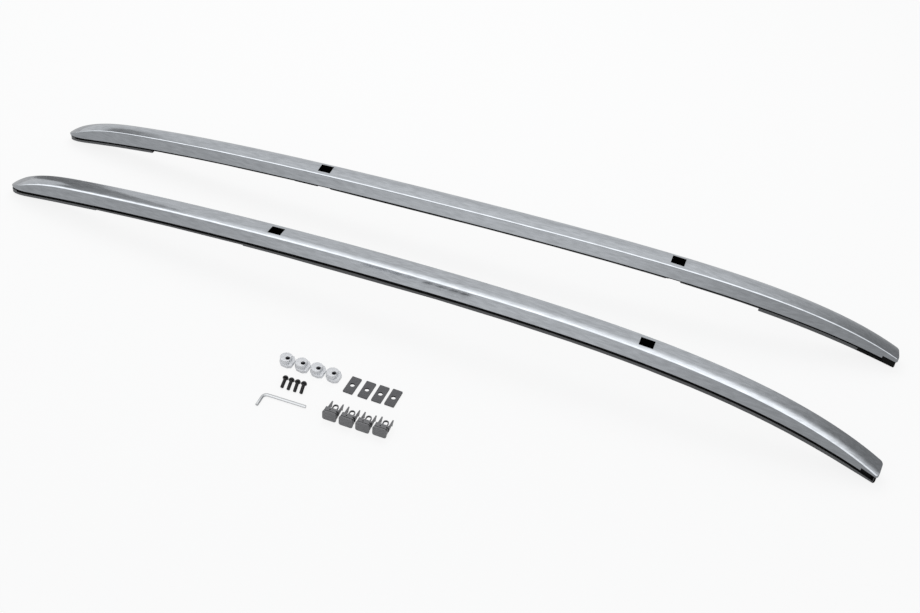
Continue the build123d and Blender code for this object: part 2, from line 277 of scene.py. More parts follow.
class Finishes(bpy.types.PropertyGroup):
    """Colours of the finishes."""

    aluminium: FloatVectorProperty(
        name="Aluminium", description="Satin rail",
        subtype="COLOR", size=3, default=(0.40, 0.42, 0.445),
    )
    plastic: FloatVectorProperty(
        name="Foot plastic", description="Feet",
        subtype="COLOR", size=3, default=(0.10, 0.102, 0.106),
    )
    seal: FloatVectorProperty(
        name="Seal rubber", description="Strips",
        subtype="COLOR", size=3, default=(0.085, 0.086, 0.09),
    )
    nut: FloatVectorProperty(
        name="Nut metal", description="Cast nuts",
        subtype="COLOR", size=3, default=(0.66, 0.67, 0.69),
    )
    pad: FloatVectorProperty(
        name="Pad rubber", description="Pads",
        subtype="COLOR", size=3, default=(0.10, 0.10, 0.105),
    )
    screw: FloatVectorProperty(
        name="Screw coating", description="Screws",
        subtype="COLOR", size=3, default=(0.02, 0.02, 0.021),
    )
    cover: FloatVectorProperty(
        name="Cover plastic", description="Covers",
        subtype="COLOR", size=3, default=(0.155, 0.155, 0.16),
    )
    key: FloatVectorProperty(
        name="Key plating", description="Hex key",
        subtype="COLOR", size=3, default=(0.44, 0.45, 0.46),
    )
    # Painted shade: this dark colour stands in for the shade inside the threaded hole of a nut
    bore: FloatVectorProperty(
        name="Nut bore", description="Inside the thread",
        subtype="COLOR", size=3, default=(0.05, 0.05, 0.055),
    )
    # Painted shade: this near black stands in for the shade in the gaps under the rails, in the pad
    # holes and inside the covers
    hollow: FloatVectorProperty(
        name="Cover hollow", description="Inside a cover",
        subtype="COLOR", size=3, default=(0.015, 0.015, 0.015),
    )
    # Painted shade: this near black on the walls of the windows and screw holes stands in for the
    # shade deep inside the rail
    inside: FloatVectorProperty(
        name="Rail inside", description="Seen through a window",
        subtype="COLOR", size=3, default=(0.003, 0.003, 0.003),
    )


class StageSettings(bpy.types.PropertyGroup):
    """Camera, floor and light."""

    camera_distance: FloatProperty(
        name="Camera distance", description="To the point it looks at",
        default=2.30756, unit="LENGTH",
    )
    camera_azimuth: FloatProperty(
        name="Camera azimuth", description="Round from the right side",
        default=math.radians(16.487), subtype="ANGLE",
    )
    camera_elevation: FloatProperty(
        name="Camera elevation", description="Over the floor",
        default=math.radians(41.675), subtype="ANGLE",
    )
    camera_roll: FloatProperty(
        name="Camera roll", description="Turn about its axis",
        default=math.radians(5.824), subtype="ANGLE",
    )
    focal_pixels: FloatProperty(
        name="Focal length", description="In pixels of a frame 920 wide", default=1258.87,
    )
    floor_size: FloatProperty(
        name="Floor size", description="Side of the floor", default=14.0, unit="LENGTH",
    )


# Rail shape, in millimetres from the middle of the rail and the plane between the rails


def sizes():
    """Sizes of a rail, as the scene holds them."""
    return bpy.context.scene.rail_sizes


def toward_front(x):
    """0 at the rear tip and 1 at the front tip."""
    return max(0.0, 0.5 + x / sizes().length)


def toward_rear(x):
    """1 at the rear tip and 0 at the front tip."""
    return max(0.0, 0.5 - x / sizes().length)


def arch_fall_at(x):
    """Drop of the long gentle part of the arch."""
    return arch_fall * (2 * x / sizes().length - arch_place) ** 2


def bottom_line(x):
    """Height of the lower edge of the side walls."""
    end = sizes().length / 2
    front_droop = arch_height - arch_fall_at(end) - front_tip_height
    rear_droop = arch_height - arch_fall_at(-end) - rear_tip_height
    droop = front_droop * toward_front(x) ** front_droop_power
    droop += rear_droop * toward_rear(x) ** rear_droop_power
    return arch_height - arch_fall_at(x) - droop


def centre_line(x):
    """Place across of the middle of the right rail."""
    splay = front_splay * toward_front(x) ** front_splay_power
    splay -= rear_inset * toward_rear(x) ** rear_inset_power
    return -sizes().spacing / 2 - splay


def half_width(x):
    """Half the width of the top face."""
    return sizes().width / 2 - width_taper * toward_rear(x) ** width_taper_power


def nose_share(x):
    """1 along the rail, falling nearly to 0 at the rear tip."""
    distance = min(x + sizes().length / 2 + nose_side_height, rear_nose_drop_length)
    return 1 - (1 - distance / rear_nose_drop_length) ** rear_nose_drop_power


def outer_height(x):
    """Height of the outer side wall."""
    height = side_height - front_taper * toward_front(x) ** front_taper_power
    return nose_side_height + (height - nose_side_height) * nose_share(x)


def inner_height(x):
    """Height of the inner side wall."""
    rise = inner_rise + rear_inner_rise * toward_rear(x) ** inner_rise_power
    rise += front_inner_rise * toward_front(x) ** inner_rise_power
    return outer_height(x) + rise * nose_share(x)


def foot_reach(x, top_height):
    """Half the width at the lower edge of a side wall."""
    return half_width(x) + top_height * math.tan(math.radians(side_lean))


def plan_limit(x):
    """Half the width that the rounded plan of the noses leaves."""
    end = sizes().length / 2
    behind = x + end
    if behind < rear_nose_length:
        start = rear_nose_length - end
        share = 1 - behind / rear_nose_length
        return foot_reach(start, outer_height(start)) * math.sqrt(max(0.0, 1 - share * share))
    before = end - x
    if before < front_nose_radius:
        edge = foot_reach(end, outer_height(end)) + front_nose_margin - front_nose_radius
        return edge + math.sqrt(front_nose_radius**2 - (front_nose_radius - before) ** 2)
    return sizes().width


def crown_point(x, share):
    """Point of the top face between its outer edge, 0, and its inner edge, 1."""
    half = half_width(x)
    nose = nose_share(x)
    outer = Vector((half, outer_height(x)))
    inner = Vector((-half, inner_height(x)))
    outer_handle = Vector((half - roll_reach, outer_height(x) + roll_height * nose))
    inner_handle = Vector((crown_reach - half, inner_height(x) + crown_rise * nose))
    rest = 1 - share
    point = outer * rest**3 + outer_handle * 3 * rest**2 * share
    return point + inner_handle * 3 * rest * share**2 + inner * share**3


def crown_at(x, outwards):
    """Point of the top face at a distance outwards from the middle."""
    low, high = 0.0, 1.0
    for _ in range(26):
        middle = (low + high) / 2
        if crown_point(x, middle).x > outwards:
            low = middle
        else:
            high = middle
    return crown_point(x, (low + high) / 2)


def rounded_corner(before, corner, after, steps):
    """Points that round a corner from before to after."""
    points = []
    for i in range(steps + 1):
        share = i / steps
        rest = 1 - share
        points.append(before * rest * rest + corner * 2 * rest * share + after * share * share)
    return points


def rail_profile(x, low, deep):
    """Closed section as outwards and height, from the foot of the outer wall over the top."""
    limit = plan_limit(x)
    outer = min(half_width(x), limit)
    reach = min(sizes().edge_round * nose_share(x), 0.3 * outer)
    points = []
    for side, wall_height in ((1, outer_height(x)), (-1, inner_height(x))):
        corner = crown_at(x, side * outer)
        foot = Vector((side * min(foot_reach(x, wall_height), limit), 0))
        start = foot + (corner - foot) * min(low / max(corner.y, 0.1), 0.98)
        wall_point = corner + (start - corner).normalized() * min(reach, 0.8 * (start - corner).length)
        top_point = crown_at(x, side * (outer - reach))
        run = [start.lerp(wall_point, share) for share in wall_shares]
        run += rounded_corner(wall_point, corner, top_point, edge_steps)
        points.append(run)
    top = []
    for i in range(1, top_steps):
        angle = math.pi * i / top_steps
        top.append(crown_at(x, (outer - reach) * math.cos(angle)))
    lip = lip_thickness * min(1, limit / sizes().width * 2)
    outer_lip = Vector((points[0][0].x - lip, points[0][0].y))
    inner_lip = Vector((points[1][0].x + lip, points[1][0].y))
    ceiling = max(low, deep)
    recess = [inner_lip, Vector((inner_lip.x, ceiling)), Vector((outer_lip.x, ceiling)), outer_lip]
    return points[0] + top + points[1][::-1] + recess


def front_skew(x):
    """How far the sections of the front end turn to stand square to the plan line."""
    end = sizes().length / 2
    share = min(1.0, max(0.0, (x - end + front_skew_length) / (front_skew_length * 0.6)))
    slope = centre_line(end) - centre_line(end - 1)
    return slope * share * share * (3 - 2 * share)


def rail_place(x, outwards, height, side):
    """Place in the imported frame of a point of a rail; side is 1 on the right and -1 on the left."""
    along = x + front_skew(x) * outwards
    across = side * (centre_line(along) - outwards)
    end = sizes().length / 2
    return Vector((along + end + rear_tip, across + mirror_y, bottom_line(along) + height)) * MM


def rail_stations():
    """Places of the sections, close together at the noses, with the heights of feet and recess."""
    end = sizes().length / 2
    rear = [0.02, 0.15, 0.5, 1.2, 2.4, 4, 6, 8.5, 11, rear_recess_end]
    rear += [rear_recess_end + 0.02, 18, 23, 29, 36, 44, rear_nose_length]
    front = [relief_length + 0.02, relief_length, 25, 20, 16, front_recess_end + 0.02]
    front += [front_recess_end, 9, 7, 5, 3.6, 2.4, 1.4, 0.7, 0.25, 0.0]
    start = rear_nose_length - end
    stop = end - relief_length - 1
    count = round((stop - start) / sizes().pitch)
    places = [d - end for d in rear]
    places += [start + (stop - start) * i / count for i in range(1, count)]
    places += [end - d for d in front]
    found = []
    for x in places:
        low = relief_height if x > end - relief_length - 0.01 else 0.0
        inside = rear_recess_end + 0.01 < x + end and end - x > front_recess_end + 0.01
        found.append((x, low, recess_depth if inside else low))
    return found


# Making of meshes


def only(made, kind):
    """What is of a kind among the elements that an operator made."""
    return [item for item in made if isinstance(item, kind)]


def swept(sections):
    """Mesh through closed rings of places, one ring extruded on to the next."""
    bm = bmesh.new()
    ring = [bm.verts.new(place) for place in sections[0]]
    edges = [bm.edges.new((a, b)) for a, b in zip(ring, ring[1:] + ring[:1])]
    bmesh.ops.contextual_create(bm, geom=edges)
    for section in sections[1:]:
        made = bmesh.ops.extrude_edge_only(bm, edges=edges)["geom"]
        order = {v: i for i, v in enumerate(ring)}
        new_ring = [None] * len(ring)
        for vert in only(made, BMVert):
            for edge in vert.link_edges:
                other = edge.other_vert(vert)
                if other in order:
                    new_ring[order[other]] = vert
        for vert, place in zip(new_ring, section):
            vert.co = place
        ring = new_ring
        edges = only(made, BMEdge)
    bmesh.ops.contextual_create(bm, geom=edges)
    bmesh.ops.remove_doubles(bm, verts=bm.verts, dist=sweep_join)
    bmesh.ops.dissolve_degenerate(bm, edges=bm.edges, dist=copy_join)
    bmesh.ops.recalc_face_normals(bm, faces=bm.faces)
    return bm


def sharpen(bm):
    """Smooth faces, with edges past the smooth angle kept sharp."""
    for face in bm.faces:
        face.smooth = True
    for edge in bm.edges:
        edge.smooth = edge.calc_face_angle(math.pi) < math.radians(smooth_angle)


def new_object(name, bm, materials, slot=None, replaces=()):
    """Object from a bmesh, riding on the part where it has a slot."""
    sharpen(bm)
    mesh = bpy.data.meshes.new(name)
    bm.to_mesh(mesh)
    bm.free()
    for material in materials:
        mesh.materials.append(material)
    piece = bpy.data.objects.new(name, mesh)
    bpy.context.scene.collection.objects.link(piece)
    if slot:
        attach(piece, "root")
    if replaces:
        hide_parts(*replaces)
    return piece


def filled_plate(bm, loops, height):
    """Plate of a height from closed loops of edges, the later loops being holes."""
    edges = [edge for loop in loops for edge in loop]
    faces = bmesh.ops.triangle_fill(bm, use_beauty=True, use_dissolve=True, edges=edges)["geom"]
    lifted = bmesh.ops.extrude_face_region(bm, geom=only(faces, BMFace), use_keep_orig=True)["geom"]
    bmesh.ops.translate(bm, verts=only(lifted, BMVert), vec=(0, 0, height))
    bmesh.ops.recalc_face_normals(bm, faces=bm.faces)


def outline_edges(bm, points, height=0.0):
    """Closed loop of edges through points of the floor plane."""
    verts = [bm.verts.new((x, y, height)) for x, y in points]
    return [bm.edges.new((a, b)) for a, b in zip(verts, verts[1:] + verts[:1])]


def circle_points(radius, steps, middle=(0.0, 0.0)):
    """Points of a circle."""
    turns = [2 * math.pi * i / steps for i in range(steps)]
    return [(middle[0] + radius * math.cos(a), middle[1] + radius * math.sin(a)) for a in turns]


def rounded_outline(points, radius, steps=5):
    """Outline with its corners rounded."""
    corners = [Vector(p) for p in points]
    found = []
    for i, corner in enumerate(corners):
        before = (corners[i - 1] - corner).normalized()
        after = (corners[(i + 1) % len(corners)] - corner).normalized()
        half = before.angle(after) / 2
        reach = radius / math.tan(half)
        found += rounded_corner(corner + before * reach, corner, corner + after * reach, steps)
    return [(p.x, p.y) for p in found]


def bevelled(bm, width, segments=2, angle=30, choose=None):
    """Rounds the edges past an angle."""
    edges = [e for e in bm.edges if e.is_manifold and e.calc_face_angle(0) > math.radians(angle)]
    if choose:
        edges = [e for e in edges if choose(e)]
    bmesh.ops.bevel(
        bm, geom=edges, offset=width, offset_type="OFFSET", affect="EDGES",
        segments=segments, profile=0.5, material=-1, clamp_overlap=True,
    )


def kit_matrix(x, y, z=0.0):
    """Place of a small piece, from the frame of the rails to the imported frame."""
    end = sizes().length / 2
    return Matrix.Translation(Vector((x + end + rear_tip, y + mirror_y, z)) * MM) @ Matrix.Scale(MM, 4)


# Materials


class Bench:
    """Short calls that make and link the nodes of a material or of the surroundings."""

    def __init__(self, holder, output):
        holder.use_nodes = True
        tree = holder.node_tree
        tree.nodes.clear()
        self.nodes, self.links = tree.nodes, tree.links
        self.surface = self.nodes.new(output).inputs["Surface"]

    def put(self, node, *values, **named):
        """Sets or links the inputs of a node, by their order or by their names."""
        pairs = [(node.inputs[i], value) for i, value in enumerate(values)]
        pairs += [(node.inputs[name.replace("_", " ")], value) for name, value in named.items()]
        for socket, value in pairs:
            if isinstance(value, bpy.types.NodeSocket):
                self.links.new(value, socket)
            else:
                socket.default_value = value
        return node

    def add(self, kind, *values, **named):
        """New node with its inputs set or linked."""
        return self.put(self.nodes.new(kind), *values, **named)

    def sum(self, operation, first, second):
        """Result of a sum of two values."""
        node = self.add("ShaderNodeMath", first, second)
        node.operation = operation
        return node.outputs[0]

    def product(self, *values):
        """Product of all the values."""
        found = values[0]
        for value in values[1:]:
            found = self.sum("MULTIPLY", found, value)
        return found

    def step(self, value, limits):
        """Smooth step of a value between two limits, from one level to another."""
        node = self.add("ShaderNodeMapRange", value, *limits)
        node.interpolation_type = "SMOOTHSTEP"
        return node.outputs["Result"]

    def mixed(self, share, first, second):
        """Mix of two shaders."""
        return self.add("ShaderNodeMixShader", share, first, second).outputs[0]

    def end(self, shader):
        """Links a shader to the output."""
        self.links.new(shader, self.surface)


def new_material(name):
    """Material with its shader linked to its output."""
    material = bpy.data.materials.new(name)
    bench = Bench(material, "ShaderNodeOutputMaterial")
    shader = bench.add("ShaderNodeBsdfPrincipled")
    bench.end(shader.outputs[0])
    return material, bench, shader


def grained_material(
    name, colour, metallic, rough, scale, stretch=(1, 1, 1),
    spread=0.06, relief=0.1, depth=0.0001, shine=0.5,
):
    """Finish with grain on object coordinates in its colour, roughness and relief."""
    material, bench, shader = new_material(name)
    place = bench.add("ShaderNodeTexCoord").outputs["Object"]
    mapped = bench.add("ShaderNodeMapping", Vector=place, Scale=stretch).outputs[0]
    noise = bench.add("ShaderNodeTexNoise", Vector=mapped, Scale=scale, Detail=grain_detail)
    source = noise.outputs["Fac"]
    ramp = bench.add("ShaderNodeValToRGB", source)
    stops = zip(ramp.color_ramp.elements, grain_limits, (1 - spread, 1 + spread))
    for stop, position, share in stops:
        stop.position = position
        stop.color = (*[min(1, c * share) for c in colour], 1)
    roughness = bench.add("ShaderNodeMapRange", source, *grain_limits, *rough)
    bump = bench.add("ShaderNodeBump", Strength=relief, Distance=depth, Height=source)
    bench.put(
        shader, Base_Color=ramp.outputs["Color"], Roughness=roughness.outputs["Result"],
        Normal=bump.outputs["Normal"], Metallic=metallic, Specular_IOR_Level=shine,
    )
    return material


# Each finish: its colour setting, how metallic, its roughness, the scale of its grain and the rest
finishes = {
    "satin_aluminium_drawn": (
        "aluminium", 1.0, (0.12, 0.17), 260,
        {"stretch": (0.2, 1, 1), "spread": 0.13, "relief": 0.05, "depth": 0.00002},
    ),
    # Painted shade on the walls of the windows and screw holes of the rails
    "rail_inside_black": ("inside", 0.0, (0.8, 0.95), 400, {"shine": 0.0}),
    "foot_plastic_moulded": ("plastic", 0.0, (0.5, 0.65), 1800, {"relief": 0.25}),
    "seal_rubber_extruded": (
        "seal", 0.0, (0.6, 0.75), 1200, {"stretch": (0.04, 1, 1), "relief": 0.2},
    ),
    "nut_metal_cast": (
        "nut", 0.3, (0.45, 0.52), 900, {"spread": 0.03, "relief": 0.03, "depth": 0.00002},
    ),
    # Painted shade inside the threaded hole of a nut
    "nut_bore_dark": ("bore", 0.5, (0.4, 0.5), 900, {"shine": 0.1}),
    # Painted shadow in the gaps under the rails and on the walls of the pad holes
    "gap_shadow": ("hollow", 0.0, (0.8, 0.95), 900, {"shine": 0.0}),
    # Painted shade inside a cover, in the shadow line behind its lid and on the blocks in its pin
    # holes
    "cover_inside": ("hollow", 0.0, (0.6, 0.8), 900, {"shine": 0.05}),
    "pad_rubber_cut": ("pad", 0.0, (0.65, 0.8), 1600, {"spread": 0.15, "relief": 0.3}),
    "screw_black_coated": ("screw", 0.4, (0.3, 0.45), 1500, {"spread": 0.2}),
    "cover_plastic_grained": ("cover", 0.0, (0.42, 0.6), 2200, {"spread": 0.1, "relief": 0.3}),
    "key_plated": (
        "key", 1.0, (0.3, 0.4), 900, {"stretch": (0.04, 1, 1), "spread": 0.04, "relief": 0.05},
    ),
}


def finish(name):
    """A finish by name, made at its first use."""
    found = bpy.data.materials.get(name)
    if found:
        return found
    colour, metallic, rough, scale, rest = finishes[name]
    tone = getattr(bpy.context.scene.finishes, colour)
    return grained_material(name, tone, metallic, rough, scale, **rest)


# Pieces


def on_rail(x, height, side):
    """Place and slope of a cutter that stands on the middle line of a rail."""
    rise = bottom_line(x + 1) - bottom_line(x - 1)
    turn = Matrix.Rotation(-math.atan2(rise, 2), 4, "Y")
    return Matrix.Translation(rail_place(x, 0, height, side)) @ turn


def window_cutter(x, side):
    """Closed box of a window, from the floor inside the rail to above its top."""
    size = sizes()
    low = recess_depth + floor_thickness
    box = Vector((size.window_length, size.window_width, 2 * side_height)) * MM
    bm = bmesh.new()
    bmesh.ops.create_cube(bm, size=1)
    bmesh.ops.scale(bm, verts=bm.verts, vec=box)
    bmesh.ops.translate(bm, verts=bm.verts, vec=(0, 0, (low + side_height) * MM))
    bmesh.ops.transform(bm, verts=bm.verts, matrix=on_rail(x, 0, side))
    return bm


def screw_cutter(x, side):
    """Closed cylinder of a screw hole."""
    bm = bmesh.new()
    radius = sizes().screw_hole / 2 * MM
    bmesh.ops.create_cone(
        bm, cap_ends=True, segments=40, radius1=radius, radius2=radius, depth=side_height * MM,
    )
    bmesh.ops.transform(bm, verts=bm.verts, matrix=on_rail(x, recess_depth, side))
    return bm


def cut(piece, cutters):
    """Takes closed cutters out of a piece and keeps their materials in the cut."""
    for i, (bm, material) in enumerate(cutters):
        tool = new_object(f"{piece.name}_cutter_{i}", bm, [material])
        modifier = piece.modifiers.new("cut", "BOOLEAN")
        modifier.operation = "DIFFERENCE"
        modifier.solver = "EXACT"
        modifier.material_mode = "TRANSFER"
        modifier.object = tool
    bpy.context.view_layer.update()
    evaluated = piece.evaluated_get(bpy.context.evaluated_depsgraph_get())
    mesh = bpy.data.meshes.new_from_object(evaluated)
    for modifier in list(piece.modifiers):
        tool = modifier.object
        piece.modifiers.remove(modifier)
        bpy.data.objects.remove(tool)
    piece.data = mesh
    bm = bmesh.new()
    bm.from_mesh(mesh)
    sharpen(bm)
    bm.to_mesh(mesh)
    bm.free()


def rail_mesh(side):
    """Skin of one rail with its recess and noses."""
    sections = []
    for x, low, deep in rail_stations():
        sections.append([rail_place(x, p.x, p.y, side) for p in rail_profile(x, low, deep)])
    return swept(sections)


class MakeRails(bpy.types.Operator):
    """Shape both rails with their windows and screw holes"""

    bl_idname = "side_rails.make_rails"
    bl_label = "Make rails"

    def execute(self, context):
        for name, side in (("right", 1), ("left", -1)):
            node = f"{name}_rail_body"
            metals = [finish("satin_aluminium_drawn"), finish("rail_inside_black")]
            rail = new_object(f"{name}_rail", rail_mesh(side), metals, "satin_aluminium", [node])
            cutters = []
            # The walls that the windows and screw holes cut get painted shade
            for x in window_places:
                cutters += [(window_cutter(x, side), metals[1]), (screw_cutter(x, side), metals[1])]
            cut(rail, cutters)
        return {"FINISHED"}


class MakeMouldings(bpy.types.Operator):
    """Soften the feet and the seal strips and paint shade on what stands in the gap under the rails
    and inside them
    """

    bl_idname = "side_rails.make_mouldings"
    bl_label = "Make feet and seals"

    def execute(self, context):
        kinds = (
            ("rear_foot", "foot_plastic_moulded", "foot_plastic"),
            ("front_foot", "foot_plastic_moulded", "foot_plastic"),
            ("rear_seal", "seal_rubber_extruded", "seal_rubber"),
            ("front_seal", "seal_rubber_extruded", "seal_rubber"),
        )
        for side in ("right", "left"):
            for kind, skin, slot in kinds:
                materials = [finish(skin), finish("gap_shadow")]
                bm = cad_copy(f"{side}_{kind}")
                bevelled(bm, moulding_edge * MM, 2, 40)
                # Faces in the gap over the strips and inside the rail get painted shade
                for face in bm.faces:
                    if is_in_gap(face.calc_center_median(), face.normal):
                        face.material_index = 1
                new_object(f"{side}_{kind}_moulding", bm, materials, slot, [f"{side}_{kind}"])
        return {"FINISHED"}


def paint_hole_shade(bm, radius):
    """Gives the faces of a hole, which lie inside a radius, the second material, the painted shade of
    the hole.
    """
    for face in bm.faces:
        face.material_index = int(max(v.co.xy.length for v in face.verts) < radius)


def nut_mesh(kit):
    """Spacer nut: a base with rounded corners and an offset boss with one flat side."""

    def outside(edge):
        return min(v.co.xy.length for v in edge.verts) > kit.thread

    def at_top(edge):
        return min(v.co.z for v in edge.verts) > kit.nut_height - 0.01

    def at_bore(edge):
        return at_top(edge) and max(v.co.xy.length for v in edge.verts) < kit.thread

    hole = circle_points(kit.thread / 2 - nut_thread_depth, 32)
    base = rounded_outline(nut_outline, kit.nut_corner)
    bm = bmesh.new()
    filled_plate(bm, [outline_edges(bm, base), outline_edges(bm, hole)], kit.nut_base)
    bevelled(bm, nut_base_edge, 3, 40, outside)

    circle = circle_points(kit.nut_boss_radius, 64, nut_boss_offset)
    outline = [(min(x, kit.nut_flat), y) for x, y in circle]
    kept = []
    for i, point in enumerate(outline):
        around = (outline[i - 1], point, outline[(i + 1) % len(outline)])
        if min(x for x, _ in around) < kit.nut_flat:
            kept.append(point)
    boss = bmesh.new()
    start = kit.nut_base - nut_boss_sunk
    loops = [outline_edges(boss, kept, start), outline_edges(boss, hole, start)]
    filled_plate(boss, loops, kit.nut_height - start)
    bevelled(boss, nut_boss_edge, 3, 40, lambda edge: at_top(edge) and outside(edge))
    bevelled(boss, countersink, 1, 40, at_bore)

    mesh = bpy.data.meshes.new("boss")
    boss.to_mesh(mesh)
    boss.free()
    bm.from_mesh(mesh)
    bpy.data.meshes.remove(mesh)
    # The bore and its countersink get painted shade
    paint_hole_shade(bm, kit.thread / 2 + countersink)
    return bm


class MakeNuts(bpy.types.Operator):
    """Cast the spacer nuts"""

    bl_idname = "side_rails.make_nuts"
    bl_label = "Make spacer nuts"

    def execute(self, context):
        kit = context.scene.kit_sizes
        metals = [finish("nut_metal_cast"), finish("nut_bore_dark")]
        for i in range(kit.count):
            bm = nut_mesh(kit)
            place = kit_matrix(nut_first[0] + i * nut_pitch, nut_first[1])
            bmesh.ops.transform(bm, verts=bm.verts, matrix=place)
            new_object(f"nut_{i + 1}", bm, metals, "nut_metal", [f"spacer_nut_{i + 1}"])
        return {"FINISHED"}


class MakePads(bpy.types.Operator):
    """Cut the rubber pads"""

    bl_idname = "side_rails.make_pads"
    bl_label = "Make seal pads"

    def execute(self, context):
        kit = context.scene.kit_sizes
        rubbers = [finish("pad_rubber_cut"), finish("gap_shadow")]
        for i in range(kit.count):
            x, y, turn = pad_places[i]
            across, along = kit.pad_width / 2, kit.pad_length / 2
            corners = ((-across, -along), (across, -along), (across, along), (-across, along))
            bm = bmesh.new()
            outline = outline_edges(bm, rounded_outline(corners, pad_corner, 6))
            hole = outline_edges(bm, circle_points(kit.pad_hole / 2, 48))
            filled_plate(bm, [outline, hole], kit.pad_thickness)
            bevelled(bm, pad_edge, 2, 40)
            # The walls of the hole get painted shade
            paint_hole_shade(bm, kit.pad_hole / 2 + 0.2)
            turned = kit_matrix(x, y) @ Matrix.Rotation(math.radians(-turn), 4, "Z")
            bmesh.ops.transform(bm, verts=bm.verts, matrix=turned)
            new_object(f"pad_{i + 1}", bm, rubbers, "pad_rubber", [f"seal_pad_{i + 1}"])
        return {"FINISHED"}


def screw_mesh(kit):
    """Screw with a helical thread, a low head and a hex socket, pointing down."""
    bm = bmesh.new()
    outer, core = kit.thread / 2, kit.thread / 2 - screw_thread_depth
    steps = 20
    pitch = kit.thread_pitch
    turns = round((kit.screw_length - screw_point) / pitch)
    run = ((core, 0), (outer, 0.4 * pitch), (outer, 0.55 * pitch), (core, 0.95 * pitch), (core, pitch))
    verts = [bm.verts.new((radius, 0, rise - kit.screw_length)) for radius, rise in run]
    edges = [bm.edges.new(pair) for pair in zip(verts, verts[1:])]
    bmesh.ops.spin(
        bm, geom=verts + edges, cent=(0, 0, 0), axis=(0, 0, 1), dvec=(0, 0, pitch / steps),
        angle=2 * math.pi * turns, steps=steps * turns, use_merge=False, use_duplicate=False,
    )
    bmesh.ops.remove_doubles(bm, verts=bm.verts, dist=0.002)
    rise = Matrix.Translation((0, 0, -kit.screw_length / 2))
    bmesh.ops.create_cone(
        bm, cap_ends=True, segments=32, radius1=core - 0.5, radius2=core + 0.02,
        depth=kit.screw_length, matrix=rise,
    )
    radius, height = kit.screw_head / 2, kit.screw_head_height
    run = (
        (outer, 0), (radius - 0.25, 0), (radius, 0.25), (radius, 1.2),
        (radius - 0.45, 2.3), (radius - 1.05, 3.3), (radius - 1.8, height),
    )
    verts = [bm.verts.new((r, 0, z)) for r, z in run]
    edges = [bm.edges.new(pair) for pair in zip(verts, verts[1:])]
    bmesh.ops.spin(
        bm, geom=verts + edges, cent=(0, 0, 0), axis=(0, 0, 1), dvec=(0, 0, 0),
        angle=2 * math.pi, steps=48, use_merge=True, use_duplicate=False,
    )
    rim = [e for e in bm.edges if e.is_boundary and min(v.co.z for v in e.verts) > height - 0.01]
    hexagon = circle_points(kit.hex_size / math.sqrt(3), 6)
    socket = outline_edges(bm, hexagon, height)
    bmesh.ops.triangle_fill(bm, use_beauty=True, use_dissolve=True, edges=rim + socket)
    sunk = bmesh.ops.extrude_edge_only(bm, edges=socket)["geom"]
    bmesh.ops.translate(bm, verts=only(sunk, BMVert), vec=(0, 0, -socket_depth))
    bmesh.ops.contextual_create(bm, geom=only(sunk, BMEdge))
    bmesh.ops.recalc_face_normals(bm, faces=bm.faces)
    return bm


class MakeScrews(bpy.types.Operator):
    """Turn the fixing screws"""

    bl_idname = "side_rails.make_screws"
    bl_label = "Make fixing screws"

    def execute(self, context):
        kit = context.scene.kit_sizes
        for i in range(kit.count):
            x, y, turn = screw_places[i]
            radius = kit.screw_head / 2
            tilt = math.atan((radius - kit.thread / 2) / kit.screw_length)
            place = kit_matrix(x, y, radius * math.cos(tilt))
            place = place @ Matrix.Rotation(math.radians(turn), 4, "Z")
            place = place @ Matrix.Rotation(tilt - math.pi / 2, 4, "X")
            bm = screw_mesh(kit)
            bmesh.ops.transform(bm, verts=bm.verts, matrix=place)
            coats = [finish("screw_black_coated")]
            new_object(f"screw_{i + 1}", bm, coats, "screw_steel", [f"fixing_screw_{i + 1}"])
        return {"FINISHED"}


def drawn_out(bm, faces, way):
    """Extrudes faces by a way and gives the moved faces."""
    moved = bmesh.ops.extrude_face_region(bm, geom=faces)["geom"]
    bmesh.ops.translate(bm, verts=only(moved, BMVert), vec=way)
    return only(moved, BMFace)


class MakeKey(bpy.types.Operator):
    """Bend the hex key"""

    bl_idname = "side_rails.make_key"
    bl_label = "Make hex key"

    def execute(self, context):
        kit = context.scene.kit_sizes
        bm = bmesh.new()
        radius = kit.hex_size / math.sqrt(3)
        made = bmesh.ops.create_circle(bm, cap_ends=True, segments=6, radius=radius)["verts"]
        stand = Matrix.Rotation(math.pi / 2, 4, "Y")
        end = Matrix.Translation((kit.key_long, 0, 0))
        bmesh.ops.transform(bm, verts=made, matrix=end @ stand)
        arm = drawn_out(bm, bm.faces[:], (kit.key_bend - kit.key_long, 0, 0))
        bend = bmesh.ops.spin(
            bm, geom=arm, cent=(kit.key_bend, -kit.key_bend, 0), axis=(0, 0, 1), dvec=(0, 0, 0),
            angle=math.pi / 2, steps=10, use_merge=False, use_duplicate=False,
        )["geom_last"]
        drawn_out(bm, only(bend, BMFace), (0, kit.key_bend - kit.key_short, 0))
        bmesh.ops.remove_doubles(bm, verts=bm.verts, dist=0.001)
        bmesh.ops.recalc_face_normals(bm, faces=bm.faces)
        bevelled(bm, key_edge, 2, 40)
        turn = Matrix.Rotation(math.radians(key_turn), 4, "Z")
        place = kit_matrix(*key_place, kit.hex_size / 2) @ turn
        bmesh.ops.transform(bm, verts=bm.verts, matrix=place)
        new_object("key", bm, [finish("key_plated")], "key_steel", ["hex_key"])
        return {"FINISHED"}


def inner_faces(bm, reach):
    """Faces that look at another face of the same piece within a reach."""
    tree = BVHTree.FromBMesh(bm)
    found = []
    for face in bm.faces:
        start = face.calc_center_median() + face.normal * ray_lift
        if tree.ray_cast(start, face.normal, reach)[0]:
            found.append(face)
    return found


